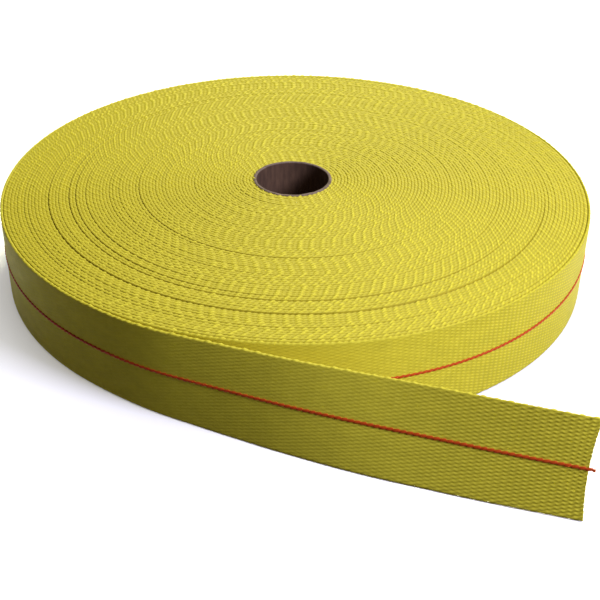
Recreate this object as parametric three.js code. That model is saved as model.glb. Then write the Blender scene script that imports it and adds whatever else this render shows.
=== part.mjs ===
import * as THREE from 'three';

// A bulk roll of single-ply flat sling webbing, wound on a cardboard core and lying on its side
// face, with its free end leaving the roll as a tail. Millimetres, +Z up. Everything is built
// about the roll's axis, and the whole roll is then moved so that the origin is in the middle
// of the footprint.

// Webbing
const WEB_WIDTH = 50.8;
const WEB_THICKNESS = 1.95;
const TURN_PITCH = 2.0;
const ROLL_RADIUS = 176.9;

// The strip leaves the roll here, as an angle about the roll's axis
const LEAVE_ANGLE = THREE.MathUtils.degToRad(250);

// Three packs of turns, with a small step between each two
const INNER_PACK_RADIUS = 95.5;
const MIDDLE_PACK_RADIUS = 137;
const PACK_GAP = 0.3;
const TURN_SIDES = 96;

// Cardboard core, which sits a little off the roll's centre
const CORE_RADIUS = 24;
const CORE_WALL = 2;
const CORE_OFFSET = new THREE.Vector2(-2.8, 2.5);
const CORE_SIDES = 64;

// Red tracer yarn along the middle of the strip's outer face
const TRACER_WIDTH = 1.4;
const TRACER_THICKNESS = 0.5;
const TRACER_HEIGHT = 0.498 * WEB_WIDTH;
const TRACER_CLEARANCE = 0.05;

// Free tail: short rigid stretches with an upright hinge line between each two
const TAIL_LENGTH = 204;
const TAIL_STRETCHES = 6;
const STRETCH_LENGTH = TAIL_LENGTH / TAIL_STRETCHES;
const HINGE_GAP = 2.0;

// The tail bows a little away from the line on which it leaves, and its top edge leans in
const BOW_AT_ROLL = 1.2;
const BOW_RISE = 3.4;
const BOW_PEAK_AT = 90;
const BOW_HALF_SPAN = 110;
const LEAN_AT_ROLL = 1.6;
const LEAN_GROWTH = 5.4;
const LEAN_FULL_AT = 120;

const YELLOW = new THREE.MeshStandardMaterial({ color: 0xd8c93e, roughness: 0.75, metalness: 0 });
const RED = new THREE.MeshStandardMaterial({ color: 0xb5341c, roughness: 0.7, metalness: 0 });
const CARDBOARD = new THREE.MeshStandardMaterial({ color: 0x8f7864, roughness: 0.95, metalness: 0 });

const roll = new THREE.Group();

function addPiece(name, geometry, material) {
  const mesh = new THREE.Mesh(geometry, material);
  mesh.name = name;
  roll.add(mesh);
  return mesh;
}

// Radius of the outer face of the last turn, which grows by one turn pitch up to where it leaves
function outerRadius(angle) {
  return ROLL_RADIUS - (TURN_PITCH * (LEAVE_ANGLE - angle)) / (2 * Math.PI);
}

function ringPoint(centre, radius, angle) {
  return new THREE.Vector2(centre.x + radius * Math.cos(angle), centre.y + radius * Math.sin(angle));
}

function circlePoints(centre, radius, sides) {
  return Array.from({ length: sides }, (_, i) => ringPoint(centre, radius, (2 * Math.PI * i) / sides));
}

// The last turn's outline, raised by a height off its face
function spiralPoints(raise) {
  const middle = new THREE.Vector2(0, 0);
  const start = LEAVE_ANGLE - 2 * Math.PI;
  return Array.from({ length: TURN_SIDES + 1 }, (_, i) => {
    const angle = start + (2 * Math.PI * i) / TURN_SIDES;
    return ringPoint(middle, outerRadius(angle) + raise, angle);
  });
}

function extrudeUp(outline, hole, bottom, height) {
  const shape = new THREE.Shape(outline);
  if (hole) {
    shape.holes.push(new THREE.Path(hole.slice().reverse()));
  }
  const geometry = new THREE.ExtrudeGeometry(shape, { depth: height, bevelEnabled: false });
  geometry.translate(0, 0, bottom);
  return geometry;
}

// The centre of the turns drifts from the core's to the roll's as the radius grows
function packCentre(radius) {
  const share = (ROLL_RADIUS - radius) / (ROLL_RADIUS - CORE_RADIUS);
  return CORE_OFFSET.clone().multiplyScalar(share);
}

function packCircle(radius, sides) {
  return circlePoints(packCentre(radius), radius, sides);
}

function addCore() {
  const outside = packCircle(CORE_RADIUS, CORE_SIDES);
  const bore = circlePoints(CORE_OFFSET, CORE_RADIUS - CORE_WALL, CORE_SIDES);
  addPiece('core_tube', extrudeUp(outside, bore, 0, WEB_WIDTH), CARDBOARD);
}

function addWoundWebbing() {
  const half = PACK_GAP / 2;
  const core = packCircle(CORE_RADIUS + PACK_GAP, CORE_SIDES);
  const innerRim = packCircle(INNER_PACK_RADIUS - half, TURN_SIDES);
  const middleBore = packCircle(INNER_PACK_RADIUS + half, TURN_SIDES);
  const middleRim = packCircle(MIDDLE_PACK_RADIUS - half, TURN_SIDES);
  const outerBore = packCircle(MIDDLE_PACK_RADIUS + half, TURN_SIDES);
  addPiece('wound_web_inner', extrudeUp(innerRim, core, 0, WEB_WIDTH), YELLOW);
  addPiece('wound_web_middle', extrudeUp(middleRim, middleBore, 0, WEB_WIDTH), YELLOW);
  addPiece('wound_web_outer', extrudeUp(spiralPoints(0), outerBore, 0, WEB_WIDTH), YELLOW);
}

function addWoundTracer() {
  const near = spiralPoints(TRACER_CLEARANCE);
  const far = spiralPoints(TRACER_CLEARANCE + TRACER_THICKNESS);
  const outline = far.concat(near.reverse());
  const bottom = TRACER_HEIGHT - TRACER_WIDTH / 2;
  addPiece('tracer_wound', extrudeUp(outline, null, bottom, TRACER_WIDTH), RED);
}

function smoothStep(value) {
  const t = THREE.MathUtils.clamp(value, 0, 1);
  return t * t * (3 - 2 * t);
}

// How far the outer face's middle lies out from the line on which the tail leaves
function tailBow(along) {
  return BOW_AT_ROLL + BOW_RISE * (1 - ((along - BOW_PEAK_AT) / BOW_HALF_SPAN) ** 2);
}

// How far the bottom edge lies outside the middle, and the top edge inside it
function tailLean(along) {
  return LEAN_AT_ROLL + LEAN_GROWTH * smoothStep(along / LEAN_FULL_AT);
}

// A point of the tail: along it, across it from bottom (0) to top (1), and depth in from its face
function tailPoint(along, across, depth) {
  const lean = tailLean(along);
  const height = WEB_WIDTH * Math.cos(Math.asin((2 * lean) / WEB_WIDTH));
  const out = ROLL_RADIUS + tailBow(along) + lean * (1 - 2 * across) - depth;
  const outward = new THREE.Vector3(Math.cos(LEAVE_ANGLE), Math.sin(LEAVE_ANGLE), 0);
  const onward = new THREE.Vector3(-Math.sin(LEAVE_ANGLE), Math.cos(LEAVE_ANGLE), 0);
  const point = outward.multiplyScalar(out).addScaledVector(onward, along);
  point.z = height * across;
  return point;
}

// A closed six-sided block: near and far ends, low and high edges, outer and inner faces
function tailBlock(start, end, low, high, outerDepth, innerDepth) {
  const corners = [];
  for (const along of [start, end]) {
    for (const across of [low, high]) {
      for (const depth of [outerDepth, innerDepth]) {
        corners.push(tailPoint(along, across, depth));
      }
    }
  }
  const faces = [
    [0, 4, 6, 2],
    [1, 3, 7, 5],
    [0, 1, 5, 4],
    [2, 6, 7, 3],
    [0, 2, 3, 1],
    [4, 5, 7, 6],
  ];
  const index = faces.flatMap(([a, b, c, d]) => [a, b, c, a, c, d]);
  const geometry = new THREE.BufferGeometry();
  geometry.setAttribute('position', new THREE.Float32BufferAttribute(corners.flatMap((p) => p.toArray()), 3));
  geometry.setIndex(index);
  geometry.computeVertexNormals();
  return geometry;
}

function addTail() {
  const tracerLow = (TRACER_HEIGHT - TRACER_WIDTH / 2) / WEB_WIDTH;
  const tracerHigh = (TRACER_HEIGHT + TRACER_WIDTH / 2) / WEB_WIDTH;
  const tracerFace = -TRACER_CLEARANCE - TRACER_THICKNESS;
  for (let i = 0; i < TAIL_STRETCHES; i += 1) {
    const start = i * STRETCH_LENGTH + HINGE_GAP / 2;
    const last = i === TAIL_STRETCHES - 1;
    const end = (i + 1) * STRETCH_LENGTH - (last ? 0 : HINGE_GAP / 2);
    const web = tailBlock(start, end, 0, 1, 0, WEB_THICKNESS);
    const tracer = tailBlock(start, end, tracerLow, tracerHigh, tracerFace, -TRACER_CLEARANCE);
    addPiece(`tail_web_${i + 1}`, web, YELLOW);
    addPiece(`tail_tracer_${i + 1}`, tracer, RED);
  }
}

addCore();
addWoundWebbing();
addWoundTracer();
addTail();

// The origin goes to the middle of the footprint, on the surface that the roll lies on
const middle = new THREE.Box3().setFromObject(roll).getCenter(new THREE.Vector3());
roll.position.set(-middle.x, -middle.y, 0);

const part = new THREE.Group();
part.add(roll);

export default part;
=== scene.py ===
import math

import bmesh
import bpy
import numpy as np
from mathutils import Matrix, Vector


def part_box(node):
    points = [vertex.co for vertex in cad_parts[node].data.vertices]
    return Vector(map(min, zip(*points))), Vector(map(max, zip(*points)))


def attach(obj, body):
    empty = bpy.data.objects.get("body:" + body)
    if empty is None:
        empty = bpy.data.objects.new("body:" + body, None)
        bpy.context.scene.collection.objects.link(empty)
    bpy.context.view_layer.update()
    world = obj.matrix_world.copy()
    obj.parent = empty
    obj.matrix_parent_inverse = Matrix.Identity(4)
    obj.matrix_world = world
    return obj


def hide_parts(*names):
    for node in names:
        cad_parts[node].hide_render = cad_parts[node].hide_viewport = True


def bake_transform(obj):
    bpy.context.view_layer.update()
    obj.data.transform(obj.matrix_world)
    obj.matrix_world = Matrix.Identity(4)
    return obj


# A bulk roll of flat sling webbing: one woven strip wound on a cardboard core, lying on its side,
# with its free end leaving the roll. Sizes are in millimetres up to the point where a mesh is made.
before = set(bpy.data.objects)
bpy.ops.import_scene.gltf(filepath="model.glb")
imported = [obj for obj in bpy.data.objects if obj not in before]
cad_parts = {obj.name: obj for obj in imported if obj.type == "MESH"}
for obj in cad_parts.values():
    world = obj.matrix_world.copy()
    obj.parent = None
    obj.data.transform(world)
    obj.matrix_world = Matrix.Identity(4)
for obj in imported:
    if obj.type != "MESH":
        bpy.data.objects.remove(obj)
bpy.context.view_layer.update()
MM = 0.001

# Webbing
WEB_WIDTH = 50.8
WEB_THICKNESS = 1.95
TURN_PITCH = 2.0
ROLL_RADIUS = 176.9
LEAVE_ANGLE = math.radians(250)

# Core
CORE_RADIUS = 24.0
CORE_WALL = 2.0
CORE_OFFSET = np.array([-2.8, 2.5])

# Weave: warp ribs run along the strip, and each floats over the weft once in a repeat, half a
# repeat away from its neighbours. A repeat is as long as pi turn pitches, so it falls in step
# from turn to turn.
REPEAT = math.pi * TURN_PITCH
REPEAT_STEPS = 10
ROWS = 52
RIB_RISE = 0.33
FLOAT_LENGTH = 0.21
FLOAT_SLANT = 0.9
PICK_DIP = 0.05
EDGE_ROUND = 0.9

# Selvedge: two lumps of weft in each repeat. The first varies in height from one to the next, and
# the second is less than half of the first's greatest height.
BEAD_STEPS = 8
BEAD_RISE = 0.7
BEAD_BULGE = 0.03
LOW_BEAD = 0.4
BEAD_LENGTH = 0.15
BEAD_SLANT = 0.18
BEAD_VARIATION = 0.5
LOWER_EDGE_SHARE = 0.35
UNEVEN_RISE = 0.14
UNEVEN_KNOTS = 5

# The lumps' drift from an even spacing: (size in repeats, period in turns, shift)
BEAD_DRIFT = [(0.30, 9.0, 0.0), (0.15, 5.2, 1.0)]

# Painted shade on the selvedge, darker where it lies low: its level in the valleys, what a lump adds, and
# what a gap takes
EDGE_PAINTED_SHADE = 0.22
LUMP_PAINTED_LIGHT = 0.9
GAP_SHADE = 0.5

# Packs of turns, and the dark gaps on the roll's face. At a gap the strip is drawn in on its outer
# # side and stands a little higher, its outer side is darkened with painted shade, and the next two turns
# outward lie lower:
# (radius, depth, angle of the middle in degrees, half of its length in turns)
PACK_EDGES = [95.5, 137.0]
GAPS = [
    (95.5, 0.6, 205, 0.35), (112.0, 0.3, 215, 0.3), (126.0, 0.5, 185, 0.25), (132.5, 0.8, 195, 0.3),
    (137.0, 1.0, 212, 0.4), (148.0, 1.0, 242, 0.4), (160.0, 0.35, 225, 0.35), (171.0, 0.3, 300, 0.3),
    (124.0, 0.3, 20, 0.3),
]
GAP_FADE_TURNS = 0.2
GAP_WIDTH = 0.22
GAP_DROP = 0.32
GAP_LIFT = 0.1

# Tail
TAIL_LENGTH = 204.0
STRETCH = TAIL_LENGTH / 6
LOOSE_LENGTH = 60.0
BOW_AT_ROLL = 1.2
BOW_RISE = 3.4
BOW_PEAK_AT = 90.0
BOW_HALF_SPAN = 110.0
BLEND_LEAD = 12.0
CUT_HOLLOW = 1.9
CUT_UNEVEN = 0.3
CUT_LENGTH = 12.0
CUT_WAVES = (5.3, 2.1)

# Changes along the strip, each eased in over a length: (change, start, length). The lean and the
# drawing in run out along the tail. The weave's strength runs both ways from where the strip leaves.
BOW_DRAW_IN = [(2.4, 50.0, 90.0)]
LEAN_STEPS = [(7.0, -45.0, 165.0), (1.2, 60.0, 60.0), (-0.8, 140.0, 60.0)]
PULLED_TIGHT = 0.25
WEAVE_BACK_ON_ROLL = [(0.95, 150.0, 400.0), (-0.9, 930.0, 120.0)]
WEAVE_ON_TAIL = [(0.75, 50.0, 150.0)]

# Weave's valleys, as a share of the ribs' rise, and the level and contrast of the painted shade on the
# face, darker in its valleys
VALLEY = 0.45
VALLEY_DEEPENS = 0.3
FACE_PAINTED_SHADE = 0.75
FACE_SHADE_CONTRAST = 0.6

# How much of a repeat a crest leans over for on each side of a float
LEAN_REACH = 0.3

# The strip's corners: how far from the middle of its thickness, and how much lower than its edge
EDGE_CORNER = 0.7
EDGE_DROP = 0.28

core_low, core_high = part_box("core_tube")
ROLL_AXIS = np.array([(core_low[i] + core_high[i]) / 2 / MM for i in (0, 1)]) - CORE_OFFSET
TURNS = (ROLL_RADIUS - CORE_RADIUS) / TURN_PITCH
BEAD_SIZES = np.random.default_rng(11).uniform(0, 1, 997)


def smooth(value):
    t = np.clip(value, 0, 1)
    return t * t * (3 - 2 * t)


def eased(steps, place):
    """The sum of smooth steps, each a change that starts at a place and is complete a length on."""
    return sum(change * smooth((place - start) / length) for change, start, length in steps)


# ---------------------------------------------------------------- camera

CAMERA_LENS = 66.24
CAMERA_FROM_AXIS = (-2.9, -607.0, 350.9)
CAMERA_YAW = 0.00933
CAMERA_DOWN = 0.5677
CAMERA_ROLL = 0.01339


def add_camera():
    forward = Vector((
        math.sin(CAMERA_YAW) * math.cos(CAMERA_DOWN),
        math.cos(CAMERA_YAW) * math.cos(CAMERA_DOWN),
        -math.sin(CAMERA_DOWN),
    ))
    level = Vector((math.cos(CAMERA_YAW), -math.sin(CAMERA_YAW), 0))
    upward = level.cross(forward)
    right = math.cos(CAMERA_ROLL) * level + math.sin(CAMERA_ROLL) * upward
    up = math.cos(CAMERA_ROLL) * upward - math.sin(CAMERA_ROLL) * level
    place = Vector((ROLL_AXIS[0], ROLL_AXIS[1], 0)) + Vector(CAMERA_FROM_AXIS)
    data = bpy.data.cameras.new("camera")
    data.lens = CAMERA_LENS
    data.sensor_width = 36
    data.clip_start = 0.01
    camera = bpy.data.objects.new("camera", data)
    turn = Matrix((right, up, -forward)).transposed().to_4x4()
    camera.matrix_world = Matrix.Translation(place * MM) @ turn
    bpy.context.collection.objects.link(camera)
    bpy.context.scene.camera = camera


add_camera()


# ---------------------------------------------------------------- materials

def principled(name, roughness):
    material = bpy.data.materials.new(name)
    material.use_nodes = True
    shader = material.node_tree.nodes["Principled BSDF"]
    shader.inputs["Roughness"].default_value = roughness
    return material, material.node_tree, shader


def noise(tree, vector, scale, detail=2.0, stretch=None):
    """A noise texture's factor, on a vector that may be stretched."""
    if stretch:
        mapping = tree.nodes.new("ShaderNodeMapping")
        mapping.inputs["Scale"].default_value = stretch
        tree.links.new(vector, mapping.inputs["Vector"])
        vector = mapping.outputs["Vector"]
    texture = tree.nodes.new("ShaderNodeTexNoise")
    texture.inputs["Scale"].default_value = scale
    texture.inputs["Detail"].default_value = detail
    tree.links.new(vector, texture.inputs["Vector"])
    return texture.outputs["Fac"]


def ramp(tree, factor, stops):
    node = tree.nodes.new("ShaderNodeValToRGB")
    elements = node.color_ramp.elements
    while len(elements) < len(stops):
        elements.new(0.5)
    for element, (place, colour) in zip(elements, stops):
        element.position = place
        element.color = (*colour, 1)
    tree.links.new(factor, node.inputs["Fac"])
    return node.outputs["Color"]


def mixed(tree, mode, amount, first, second):
    node = tree.nodes.new("ShaderNodeMix")
    node.data_type = "RGBA"
    node.blend_type = mode
    node.inputs["Factor"].default_value = amount
    tree.links.new(first, node.inputs[6])
    tree.links.new(second, node.inputs[7])
    return node.outputs[2]


def bump(tree, shader, height, strength, distance):
    node = tree.nodes.new("ShaderNodeBump")
    node.inputs["Strength"].default_value = strength
    node.inputs["Distance"].default_value = distance
    tree.links.new(height, node.inputs["Height"])
    tree.links.new(node.outputs["Normal"], shader.inputs["Normal"])


def yarn_material(name, dark, light, specular):
    """Woven yarn: fine filaments along the strip, painted shade that darkens the colour low down between
    the yarns, and a slow change of tone from place to place."""
    material, tree, shader = principled(name, 0.5)
    strip = tree.nodes.new("ShaderNodeUVMap")
    strip.uv_map = "strip"
    filaments = noise(tree, strip.outputs["UV"], 1.0, 2.0, (350.0, 5200.0, 1.0))
    patches = noise(tree, strip.outputs["UV"], 1.0, 3.0, (90.0, 160.0, 1.0))
    # Painted shade: this attribute darkens the colour where the surface lies low, as the shade in its
    # hollows
    painted_shade = tree.nodes.new("ShaderNodeAttribute")
    painted_shade.attribute_name = "painted_shade"
    fine = ramp(tree, filaments, [(0.25, dark), (0.75, light)])
    slow = ramp(tree, patches, [(0.3, (0.9, 0.9, 0.9)), (0.7, (1, 1, 1))])
    painted_valley_shade = ramp(tree, painted_shade.outputs["Fac"], [(0.0, (0.57, 0.52, 0.38)), (0.9, (1, 1, 1))])
    colour = mixed(tree, "MULTIPLY", 1.0, mixed(tree, "MULTIPLY", 1.0, fine, slow), painted_valley_shade)
    tree.links.new(colour, shader.inputs["Base Color"])
    shader.inputs["Specular IOR Level"].default_value = specular
    bump(tree, shader, filaments, 0.35, 0.0002)
    return material


def cardboard_material():
    material, tree, shader = principled("cardboard", 0.9)
    place = tree.nodes.new("ShaderNodeTexCoord").outputs["Object"]
    fibres = noise(tree, place, 1.0, 4.0, (420.0, 420.0, 90.0))
    blotches = noise(tree, place, 60.0, 3.0)
    fine = ramp(tree, fibres, [(0.25, (0.15, 0.10, 0.075)), (0.75, (0.32, 0.235, 0.185))])
    slow = ramp(tree, blotches, [(0.3, (0.7, 0.68, 0.66)), (0.7, (1, 1, 1))])
    painted_shade = tree.nodes.new("ShaderNodeAttribute")
    painted_shade.attribute_name = "painted_shade"
    # Painted shade: the bore's inner wall is coloured darker, as the shade inside the tube
    inside = ramp(tree, painted_shade.outputs["Fac"], [(0.0, (0.42, 0.30, 0.19)), (1.0, (1, 1, 1))])
    colour = mixed(tree, "MULTIPLY", 1.0, mixed(tree, "MULTIPLY", 1.0, fine, slow), inside)
    tree.links.new(colour, shader.inputs["Base Color"])
    bump(tree, shader, fibres, 0.4, 0.0004)
    return material


WEBBING = yarn_material("webbing_yarn", (0.72, 0.63, 0.035), (0.92, 0.83, 0.075), specular=0.08)
TRACER = yarn_material("tracer_yarn", (0.50, 0.05, 0.006), (0.74, 0.11, 0.012), specular=0.12)
CARDBOARD = cardboard_material()


# ---------------------------------------------------------------- meshes

def ring_normals(before, ring, after):
    """Normals at the middle one of three rings, as a mesh through all three would have."""
    total = np.zeros_like(ring)
    for low, high in ((before, ring), (ring, after)):
        up = np.roll(high, -1, 0) - low
        down = high - np.roll(low, -1, 0)
        face = np.cross(up, down)
        face /= np.linalg.norm(face, axis=1)[:, None]
        total += face + np.roll(face, 1, 0)
    return total / np.linalg.norm(total, axis=1)[:, None]


def match_ends(mesh, rings, first, last):
    """Give the mesh's end rings these normals, so that two pieces of strip meet without a line."""
    around = rings.shape[1]
    quads = (len(rings) - 1) * around
    normals = np.zeros((len(mesh.loops), 3))
    corners = normals[:quads * 4].reshape(-1, around, 4, 3)
    if first is not None:
        corners[0, :, 0] = first
        corners[0, :, 1] = np.roll(first, -1, 0)
    if last is not None:
        corners[-1, :, 3] = last
        corners[-1, :, 2] = np.roll(last, -1, 0)
    mesh.normals_split_custom_set(normals.tolist())


def add_tube(name, rings, strip, material, caps=True):
    """A closed mesh from rings of points (rings, points, 3) in millimetres. The strip array holds
    each point's length along the strip, its place across it, and how far it stands out, 0 to 1, which sets
    the painted shade in its colour."""
    count, around, _ = rings.shape
    ring = np.arange(count - 1)[:, None] * around
    here = np.arange(around)[None, :]
    after = (here + 1) % around
    quads = np.stack([ring + here, ring + after, ring + around + after, ring + around + here], -1)
    quads = quads.reshape(-1, 4)
    loops = [quads.ravel()]
    starts = [np.arange(len(quads)) * 4]
    if caps:
        loops += [np.arange(around)[::-1], np.arange(around) + (count - 1) * around]
        starts += [np.array([len(quads) * 4, len(quads) * 4 + around])]
    loops = np.concatenate(loops).astype(np.int32)
    starts = np.concatenate(starts).astype(np.int32)
    mesh = bpy.data.meshes.new(name)
    mesh.vertices.add(count * around)
    mesh.vertices.foreach_set("co", (rings * MM).astype(np.float32).ravel())
    mesh.loops.add(len(loops))
    mesh.loops.foreach_set("vertex_index", loops)
    mesh.polygons.add(len(starts))
    mesh.polygons.foreach_set("loop_start", starts)
    mesh.polygons.foreach_set("use_smooth", np.arange(len(starts)) < len(quads))
    layer = mesh.uv_layers.new(name="strip")
    flat = (strip[..., :2].reshape(-1, 2) * MM).astype(np.float32)
    layer.uv.foreach_set("vector", flat[loops].ravel())
    # How far each point stands out, kept for the painted shade in the colour
    painted_shade = mesh.attributes.new("painted_shade", "FLOAT", "POINT")
    painted_shade.data.foreach_set("value", strip[..., 2].astype(np.float32).ravel())
    mesh.update(calc_edges=True)
    mesh.validate()
    mesh.materials.append(material)
    obj = bpy.data.objects.new(name, mesh)
    bpy.context.collection.objects.link(obj)
    return obj


# ---------------------------------------------------------------- the strip's path

def wound_path(turns):
    """The wound strip at some turn numbers: its middle, outward direction and length so far."""
    left = TURNS - turns
    angle = LEAVE_ANGLE - 2 * math.pi * left
    radius = ROLL_RADIUS - TURN_PITCH * left
    outward = np.stack([np.cos(angle), np.sin(angle)], -1)
    drift = (ROLL_RADIUS - radius) / (ROLL_RADIUS - CORE_RADIUS)
    middle = ROLL_AXIS + CORE_OFFSET * drift[:, None] + outward * (radius - WEB_THICKNESS / 2)[:, None]
    along = -2 * math.pi * (ROLL_RADIUS * left - TURN_PITCH * left**2 / 2)
    return middle, outward, along


def turns_at(along):
    """The turn number at a length along the strip, where 0 is where the strip leaves the roll."""
    left = (ROLL_RADIUS - np.sqrt(ROLL_RADIUS**2 + TURN_PITCH * along / math.pi)) / TURN_PITCH
    return TURNS - left


def tail_bow(along):
    """How far the strip lies out from the line on which it leaves, where it first comes loose too."""
    free = BOW_AT_ROLL + BOW_RISE * (1 - ((along - BOW_PEAK_AT) / BOW_HALF_SPAN) ** 2)
    t = np.clip(1 + along / LOOSE_LENGTH, 0, 1)
    free = free - eased(BOW_DRAW_IN, along)
    at_roll = BOW_AT_ROLL + BOW_RISE * (1 - (BOW_PEAK_AT / BOW_HALF_SPAN) ** 2)
    slope = BOW_RISE * 2 * BOW_PEAK_AT / BOW_HALF_SPAN**2 * LOOSE_LENGTH
    loose = at_roll * (3 * t**2 - 2 * t**3) + slope * (t**3 - t**2)
    return np.where(along > 0, free, loose)


def tail_lean(along):
    """How far the bottom edge lies outside the middle, and the top edge inside it."""
    return eased(LEAN_STEPS, along)


def tail_path(along):
    """The last stretch of the strip, from the last turn to the cut end: middle, outward and lean."""
    middle, outward, _ = wound_path(turns_at(np.minimum(along, 0)))
    onward = np.stack([-outward[:, 1], outward[:, 0]], -1)
    middle = middle + onward * np.maximum(along, 0)[:, None] + outward * tail_bow(along)[:, None]
    return middle, outward, tail_lean(along)


# ---------------------------------------------------------------- the wound turns

def gap_share(turns):
    """How strongly a gap opens on the outer side of the strip here, from 0 to 1."""
    share = np.zeros_like(turns)
    for radius, depth, degrees, half in GAPS:
        part = (LEAVE_ANGLE - math.radians(degrees)) / (2 * math.pi)
        middle = TURNS - part - round((ROLL_RADIUS - radius) / TURN_PITCH - part)
        open_here = smooth((half - np.abs(turns - middle)) / GAP_FADE_TURNS)
        share = np.maximum(share, depth * open_here)
    return share


def unevenness(turns):
    """Small differences in height, eased from one random knot to the next along the strip."""
    rng = np.random.default_rng(7)
    knots = rng.uniform(-1, 1, (int(TURNS) + 3, UNEVEN_KNOTS)).ravel()
    place = np.clip(turns, 0, TURNS) * UNEVEN_KNOTS
    low = np.floor(place).astype(int)
    part = smooth(place - low)
    return UNEVEN_RISE * (knots[low] * (1 - part) + knots[low + 1] * part)


def lump_at(phase, length):
    away = np.abs((phase + 0.5) % 1.0 - 0.5)
    return np.exp(-((away / length) ** 2))


def bead_drift(turns):
    """How far the lumps lag behind an even spacing, in repeats: the strip isn't wound quite evenly."""
    return sum(size * np.sin(2 * math.pi * turns / period + shift) for size, period, shift in BEAD_DRIFT)


def bead(repeats, across):
    """The weft lumps at the strip's edge, from 0 to 1, which slant a little across the thickness."""
    phase = repeats + BEAD_SLANT * across
    size = 1 - BEAD_VARIATION * BEAD_SIZES[np.round(phase).astype(int) % len(BEAD_SIZES)]
    return size * lump_at(phase, BEAD_LENGTH) + LOW_BEAD * lump_at(phase + 0.5, BEAD_LENGTH)


def samples(start, end, step):
    """Lengths along the strip at whole steps, with the two ends."""
    inside = np.arange(math.floor(start / step) + 1, math.ceil(end / step)) * step
    inside = inside[(inside > start + 0.2 * step) & (inside < end - 0.2 * step)]
    return np.concatenate([[start], inside, [end]])


def wound_rings(first, last):
    """Rings of the wound strip from one turn number to another."""
    start, end = wound_path(np.array([first, last]))[2]
    along = samples(start, end, REPEAT / BEAD_STEPS)
    turns = turns_at(along)
    middle, outward, _ = wound_path(turns)
    gap = gap_share(turns)
    height = WEB_WIDTH - BEAD_RISE + unevenness(turns) + GAP_LIFT * gap
    height = height - GAP_DROP * (gap_share(turns - 1) + 0.5 * gap_share(turns - 2))
    # across the thickness, rise from the edge, share of the lump, at the top edge?
    repeats = along / REPEAT + bead_drift(turns)
    profile = [
        (-0.8, 0.0, 1.0, False), (0.8, 0.0, 1.0, False),
        (1.01, -0.17, 0.95, True), (0.74, -0.03, 1.0, True), (0.28, 0.0, 1.0, True),
        (-0.28, 0.0, 1.0, True), (-0.74, -0.03, 1.0, True), (-1.01, -0.17, 0.95, True),
    ]
    rings = np.zeros((len(along), len(profile), 3))
    strip = np.zeros((len(along), len(profile), 3))
    for k, (across, rise, share, top) in enumerate(profile):
        lump = bead(repeats, across) * share
        wide = across * (1 - BEAD_BULGE * (1 - bead(repeats, across)))
        if across > 0:
            wide = wide - GAP_WIDTH * gap
        rings[:, k, :2] = middle + outward * wide[:, None]
        if top:
            rings[:, k, 2] = height + rise + BEAD_RISE * lump
        else:
            rings[:, k, 2] = rise + BEAD_RISE * (share - lump)
        strip[:, k, 0] = along
        strip[:, k, 1] = across + (WEB_WIDTH if top else 0.0)
        # Painted shade: lower parts of the selvedge, and the outer side where a gap opens, are coloured
        # darker
        shade = GAP_SHADE * gap if across > 0.5 else 0.0
        strip[:, k, 2] = EDGE_PAINTED_SHADE + LUMP_PAINTED_LIGHT * lump + rise - shade
    return rings, strip


def add_wound_webbing():
    steps = [TURNS - (ROLL_RADIUS - radius) / TURN_PITCH for radius in PACK_EDGES]
    edges = [0.0] + steps + [TURNS - 1.0]
    for name, first, last in zip(["inner", "middle", "outer"], edges, edges[1:]):
        rings, strip = wound_rings(first, last)
        piece = add_tube(f"turns_{name}", rings, strip, WEBBING)
        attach(piece, "roll")
        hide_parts(f"wound_web_{name}")


# ---------------------------------------------------------------- the woven face

def weave_strength(along):
    """How far the weave stands out: least where the strip is pulled tight on to the roll."""
    return PULLED_TIGHT + eased(WEAVE_BACK_ON_ROLL, -along) + eased(WEAVE_ON_TAIL, along)


def float_phase(along, row):
    return along / REPEAT + 0.5 * (row % 2)


def weave(along, half_row):
    """Rise of the woven face at a half row: even ones are valleys between ribs, odd ones are crests."""
    strength = weave_strength(along)
    dip = strength**2 * PICK_DIP * (0.5 - 0.5 * np.cos(4 * math.pi * along / REPEAT))
    if half_row % 2 == 0:
        return (VALLEY - VALLEY_DEEPENS * strength) * RIB_RISE - dip
    rise = lump_at(float_phase(along, half_row // 2), FLOAT_LENGTH)
    return RIB_RISE * (0.5 + strength * (rise - 0.5)) - dip


def weave_painted_shade(along, half_row):
    """Painted shade on the face, from how far it stands out here: darker in the valleys."""
    contrast = FACE_SHADE_CONTRAST * weave_strength(along)
    return FACE_PAINTED_SHADE + contrast * (weave(along, half_row) / RIB_RISE - 0.5)


def float_drift(along, row):
    """How far a rib's crest leans to one side, in rows, as it passes over a float."""
    phase = float_phase(along, row)
    return -FLOAT_SLANT * np.sin(2 * math.pi * phase) * lump_at(phase, LEAN_REACH)


def drift(along, half_row):
    """The same for a half row: a valley goes half as far as the ribs on its two sides."""
    row = half_row // 2
    if half_row % 2 == 1:
        return float_drift(along, row)
    return (float_drift(along, row - 1) + float_drift(along, row)) / 2


def cut_shift(along, across, column):
    """The cut end is a little hollow and uneven, so the last few millimetres are drawn back."""
    hollow = CUT_HOLLOW * np.sin(math.pi * np.clip(across / WEB_WIDTH, 0, 1))
    uneven = CUT_UNEVEN * math.sin(CUT_WAVES[0] * column) * math.sin(CUT_WAVES[1] * column)
    return -(hollow + uneven) * smooth((along - TAIL_LENGTH + CUT_LENGTH) / CUT_LENGTH)


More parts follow.
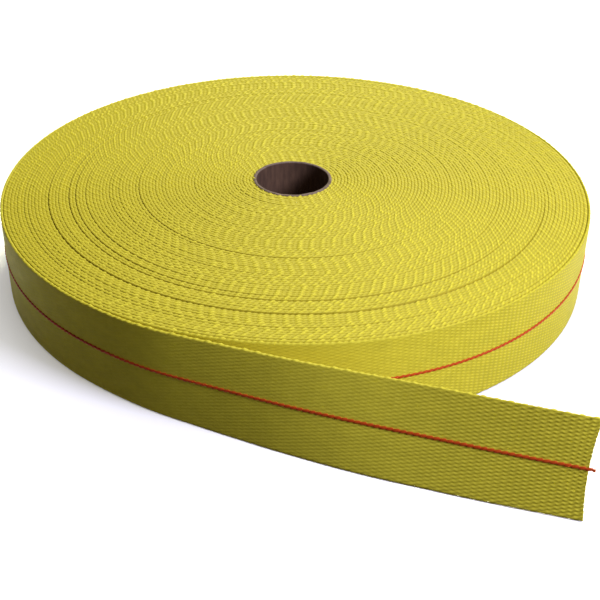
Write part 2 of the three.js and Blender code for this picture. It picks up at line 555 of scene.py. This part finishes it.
def woven_rings(along, both_faces):
    """Rings of the strip with its weave, up the outer face and back down the inner one, which is
    plain unless both faces are asked for."""
    middle, outward, lean = tail_path(along)
    onward = np.stack([-outward[:, 1], outward[:, 0]], -1)
    tilt = np.arcsin(2 * lean / WEB_WIDTH)
    up_out, up_z = -np.sin(tilt), np.cos(tilt)
    half = WEB_THICKNESS / 2 - RIB_RISE
    span = WEB_WIDTH - 2 * EDGE_ROUND
    half_rows = list(range(2 * ROWS + 1))
    columns = [("low", 0.0), ("low", EDGE_CORNER)]
    columns += [("outer", place) for place in half_rows]
    columns += [("high", EDGE_CORNER), ("high", 0.0), ("high", -EDGE_CORNER)]
    columns += [("inner", place) for place in reversed(half_rows if both_faces else [0, 2 * ROWS])]
    columns += [("low", -EDGE_CORNER)]
    rings = np.zeros((len(along), len(columns), 3))
    strip = np.zeros((len(along), len(columns), 3))
    for k, (kind, place) in enumerate(columns):
        if kind in ("low", "high"):
            depth = place * np.ones_like(along)
            drop = EDGE_DROP * abs(place) / EDGE_CORNER
            lump = BEAD_RISE * (1 - bead(along / REPEAT, place))
            across = WEB_WIDTH - drop - lump if kind == "high" else drop + LOWER_EDGE_SHARE * lump
            # Painted shade: the strip's edges are coloured darker between the lumps
            painted_shade = 0.5 + 0.5 * bead(along / REPEAT, place)
        else:
            depth = (half + weave(along, place)) * (1.0 if kind == "outer" else -1.0)
            slant = 0.0 if place in (0, 2 * ROWS) else 1.0
            across = EDGE_ROUND + (place / 2 + drift(along, place) * slant) / ROWS * span
            painted_shade = weave_painted_shade(along, place)
        offset = across - WEB_WIDTH / 2
        out = depth * up_z + offset * up_out
        rings[:, k, :2] = middle + outward * out[:, None] + onward * cut_shift(along, across, k)[:, None]
        rings[:, k, 2] = across * up_z + depth * np.abs(up_out)
        strip[:, k, 0] = along
        strip[:, k, 1] = across
        strip[:, k, 2] = painted_shade
    return rings, strip


def one_face(along):
    return woven_rings(along, False)


def two_faces(along):
    return woven_rings(along, True)


def add_stretch(name, start, end, rings_of, material, joins):
    """A piece of the tail or the last turn, whose shading runs on into its neighbours."""
    step = REPEAT / REPEAT_STEPS
    along = samples(start, end, step)
    rings, strip = rings_of(np.concatenate([[start - step], along, [end + step]]))
    piece = add_tube(name, rings[1:-1], strip[1:-1], material)
    first = ring_normals(*rings[:3]) if joins[0] else None
    last = ring_normals(*rings[-3:]) if joins[1] else None
    match_ends(piece.data, rings[1:-1], first, last)
    return piece


def add_last_turn():
    start = -2 * math.pi * (ROLL_RADIUS - TURN_PITCH / 2)
    end = -BLEND_LEAD
    piece = add_stretch("last_turn", start, end, one_face, WEBBING, (False, True))
    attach(piece, "roll")


def tail_stretches():
    """(start, end, body before, body after, joint place) of each piece of the tail."""
    bodies = ["roll"] + [f"tail_{i + 1}" for i in range(6)]
    ends = [-BLEND_LEAD] + [(i + 0.5) * STRETCH for i in range(5)] + [TAIL_LENGTH]
    return [(ends[i], ends[i + 1], bodies[i], bodies[i + 1], i * STRETCH) for i in range(6)]


def bend(piece):
    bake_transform(piece)


def add_tail():
    for i, (start, end, before, after, hinge) in enumerate(tail_stretches()):
        piece = add_stretch(f"tail_{i + 1}_webbing", start, end, two_faces, WEBBING, (True, i < 5))
        bend(piece)
        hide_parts(f"tail_web_{i + 1}")


# ---------------------------------------------------------------- the tracer yarn

TRACER_WIDTH = 1.65
TRACER_DEPTH = 0.8
TRACER_WANDER = 0.24
TRACER_SIDES = 8
TRACER_PAST_END = 1.2
TRACER_LEVEL = 0.508
TRACER_PROUD = 0.02
TRACER_DIVE = 0.7
TRACER_DIVE_SHIFT = 0.08
TRACER_SINK = 0.3
TRACER_NARROWS = 0.15
TRACER_CLIMB = 0.8
# Painted shade on the tracer: its level, and how much darker it is painted where it dips between stitches
TRACER_PAINTED_SHADE = 0.9
TRACER_SHADE = 0.6


def tracer_rings(along):
    """The red yarn: it floats over a stitch and dips between two, and steps from side to side."""
    middle, outward, lean = tail_path(np.minimum(along, TAIL_LENGTH))
    onward = np.stack([-outward[:, 1], outward[:, 0]], -1)
    middle = middle + onward * np.maximum(along - TAIL_LENGTH, 0)[:, None]
    tilt = np.arcsin(2 * lean / WEB_WIDTH)
    phase = (2 * along / REPEAT) % 1.0
    dive = TRACER_DIVE * lump_at(phase + TRACER_DIVE_SHIFT, BEAD_LENGTH)
    depth = WEB_THICKNESS / 2 + TRACER_PROUD - TRACER_SINK * dive
    rising = 2 * phase / TRACER_CLIMB - 1
    falling = 1 - 2 * (phase - TRACER_CLIMB) / (1 - TRACER_CLIMB)
    climb = np.where(phase < TRACER_CLIMB, rising, falling)
    across = TRACER_LEVEL * WEB_WIDTH + TRACER_WANDER * climb
    rings = np.zeros((len(along), TRACER_SIDES, 3))
    strip = np.zeros((len(along), TRACER_SIDES, 3))
    for k in range(TRACER_SIDES):
        turn = 2 * math.pi * k / TRACER_SIDES
        out = depth + TRACER_DEPTH / 2 * math.sin(turn)
        level = across + TRACER_WIDTH / 2 * (1 - TRACER_NARROWS * dive) * -math.cos(turn)
        offset = level - WEB_WIDTH / 2
        rings[:, k, :2] = middle + outward * (out * np.cos(tilt) - offset * np.sin(tilt))[:, None]
        rings[:, k, 2] = level * np.cos(tilt) + out * np.sin(tilt)
        strip[:, k, 0] = along
        strip[:, k, 1] = k * 0.4
        # Painted shade: the tracer is coloured darker where it dips between stitches
        strip[:, k, 2] = TRACER_PAINTED_SHADE - TRACER_SHADE * dive
    return rings, strip


def add_tracer():
    start = -2 * math.pi * (ROLL_RADIUS - TURN_PITCH / 2) + 3
    wound = add_stretch("last_turn_tracer", start, -BLEND_LEAD, tracer_rings, TRACER, (False, True))
    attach(wound, "roll")
    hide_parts("tracer_wound")
    for i, (start, end, before, after, hinge) in enumerate(tail_stretches()):
        past = TRACER_PAST_END if i == 5 else 0.0
        name = f"tail_{i + 1}_tracer"
        piece = add_stretch(name, start, end + past, tracer_rings, TRACER, (True, i < 5))
        bend(piece)
        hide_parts(f"tail_tracer_{i + 1}")


# ---------------------------------------------------------------- the core

CORE_SIDES = 160
CORE_WEAR = 0.18
WEAR_KNOTS = 40


def add_core():
    """A cardboard tube with soft rims, the upper one slightly worn."""
    inner, outer = CORE_RADIUS - CORE_WALL, CORE_RADIUS
    profile = [
        (outer, 0.5), (outer, WEB_WIDTH - 0.6), (outer - 0.15, WEB_WIDTH - 0.15), (outer - 0.5, WEB_WIDTH),
        (inner + 0.5, WEB_WIDTH), (inner + 0.15, WEB_WIDTH - 0.2), (inner, WEB_WIDTH - 0.7),
        (inner, WEB_WIDTH / 2), (inner, 0.7),
        (inner + 0.3, 0.1), (inner + 0.7, 0.0), (outer - 0.7, 0.0), (outer - 0.3, 0.1),
    ]
    angle = np.linspace(0, 2 * math.pi, CORE_SIDES + 1)[:-1]
    rng = np.random.default_rng(3)
    knots = np.append(rng.uniform(-1, 1, WEAR_KNOTS), 0.0)
    wear = np.interp(angle, np.linspace(0, 2 * math.pi, WEAR_KNOTS + 1), knots)
    rings = np.zeros((CORE_SIDES, len(profile), 3))
    strip = np.zeros((CORE_SIDES, len(profile), 3))
    for k, (radius, height) in enumerate(profile):
        worn = CORE_WEAR * wear if height > WEB_WIDTH - 1 else 0.0
        rings[:, k, 0] = ROLL_AXIS[0] + CORE_OFFSET[0] + radius * np.cos(angle)
        rings[:, k, 1] = ROLL_AXIS[1] + CORE_OFFSET[1] + radius * np.sin(angle)
        rings[:, k, 2] = height + worn
        strip[:, k, 0] = radius * angle
        strip[:, k, 1] = height
        # Painted shade: 0 marks the inner wall, whose colour is darkened as the shade in the bore
        strip[:, k, 2] = 0.0 if radius == inner else 1.0
    piece = add_ring("core", rings, strip, CARDBOARD)
    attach(piece, "roll")
    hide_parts("core_tube")


def add_ring(name, rings, strip, material):
    """A tube mesh that closes on itself: the last ring is joined to the first."""
    closed = np.concatenate([rings, rings[:1]])
    uv = np.concatenate([strip, strip[:1]])
    obj = add_tube(name, closed[:, ::-1], uv[:, ::-1], material, caps=False)
    mesh = obj.data
    work = bmesh.new()
    work.from_mesh(mesh)
    bmesh.ops.remove_doubles(work, verts=work.verts, dist=1e-6)
    work.to_mesh(mesh)
    work.free()
    return obj


add_core()
add_wound_webbing()
add_last_turn()
add_tail()
add_tracer()


# ---------------------------------------------------------------- floor and light

def add_floor():
    bpy.ops.mesh.primitive_plane_add(size=80, location=(0, 0, -0.0002))
    floor = bpy.context.object
    floor.name = "floor"
    material, _, shader = principled("floor_white", 0.9)
    shader.inputs["Base Color"].default_value = (0.95, 0.945, 0.935, 1)
    floor.data.materials.append(material)
    floor.visible_diffuse = False
    return floor


def add_lamp(name, azimuth, elevation, distance, size, power, colour):
    """A square lamp that faces the roll, in degrees and metres from it."""
    data = bpy.data.lights.new(name, "AREA")
    data.energy = power
    data.color = colour
    data.size = size
    light = bpy.data.objects.new(name, data)
    turn = math.radians(azimuth)
    rise = math.radians(elevation)
    toward = Vector((math.cos(turn) * math.cos(rise), math.sin(turn) * math.cos(rise), math.sin(rise)))
    light.location = Vector((ROLL_AXIS[0] * MM, ROLL_AXIS[1] * MM, 0.02)) + toward * distance
    light.rotation_euler = toward.to_track_quat("Z", "Y").to_euler()
    bpy.context.collection.objects.link(light)


def add_floor_light(floor):
    """Soft light from above that reaches the floor only, so the floor stays pale."""
    data = bpy.data.lights.new("floor_light", "SUN")
    data.energy = 2.2
    data.angle = math.radians(70)
    light = bpy.data.objects.new("floor_light", data)
    bpy.context.collection.objects.link(light)
    lit = bpy.data.collections.new("lit_by_floor_light")
    lit.objects.link(floor)
    light.light_linking.receiver_collection = lit


def add_world():
    """Weak, slightly warm light from all sides; the camera sees it as a pale wall."""
    world = bpy.data.worlds.new("studio")
    world.use_nodes = True
    tree = world.node_tree
    glow = tree.nodes["Background"]
    glow.inputs["Color"].default_value = (1, 0.9, 0.82, 1)
    glow.inputs["Strength"].default_value = 0.09
    wall = tree.nodes.new("ShaderNodeBackground")
    wall.inputs["Color"].default_value = (0.8, 0.8, 0.79, 1)
    seen = tree.nodes.new("ShaderNodeLightPath")
    both = tree.nodes.new("ShaderNodeMixShader")
    tree.links.new(seen.outputs["Is Camera Ray"], both.inputs["Fac"])
    tree.links.new(glow.outputs["Background"], both.inputs[1])
    tree.links.new(wall.outputs["Background"], both.inputs[2])
    tree.links.new(both.outputs["Shader"], tree.nodes["World Output"].inputs["Surface"])
    bpy.context.scene.world = world


add_floor_light(add_floor())
add_world()
add_lamp(
    "front_lamp", azimuth=-38, elevation=32, distance=1.0, size=0.3, power=11.2, colour=(0.75, 0.75, 1.0)
)
add_lamp(
    "back_lamp", azimuth=82, elevation=40, distance=1.6, size=0.5, power=22.0, colour=(1.0, 0.99, 0.66)
)
bpy.context.scene.view_settings.view_transform = "Standard"
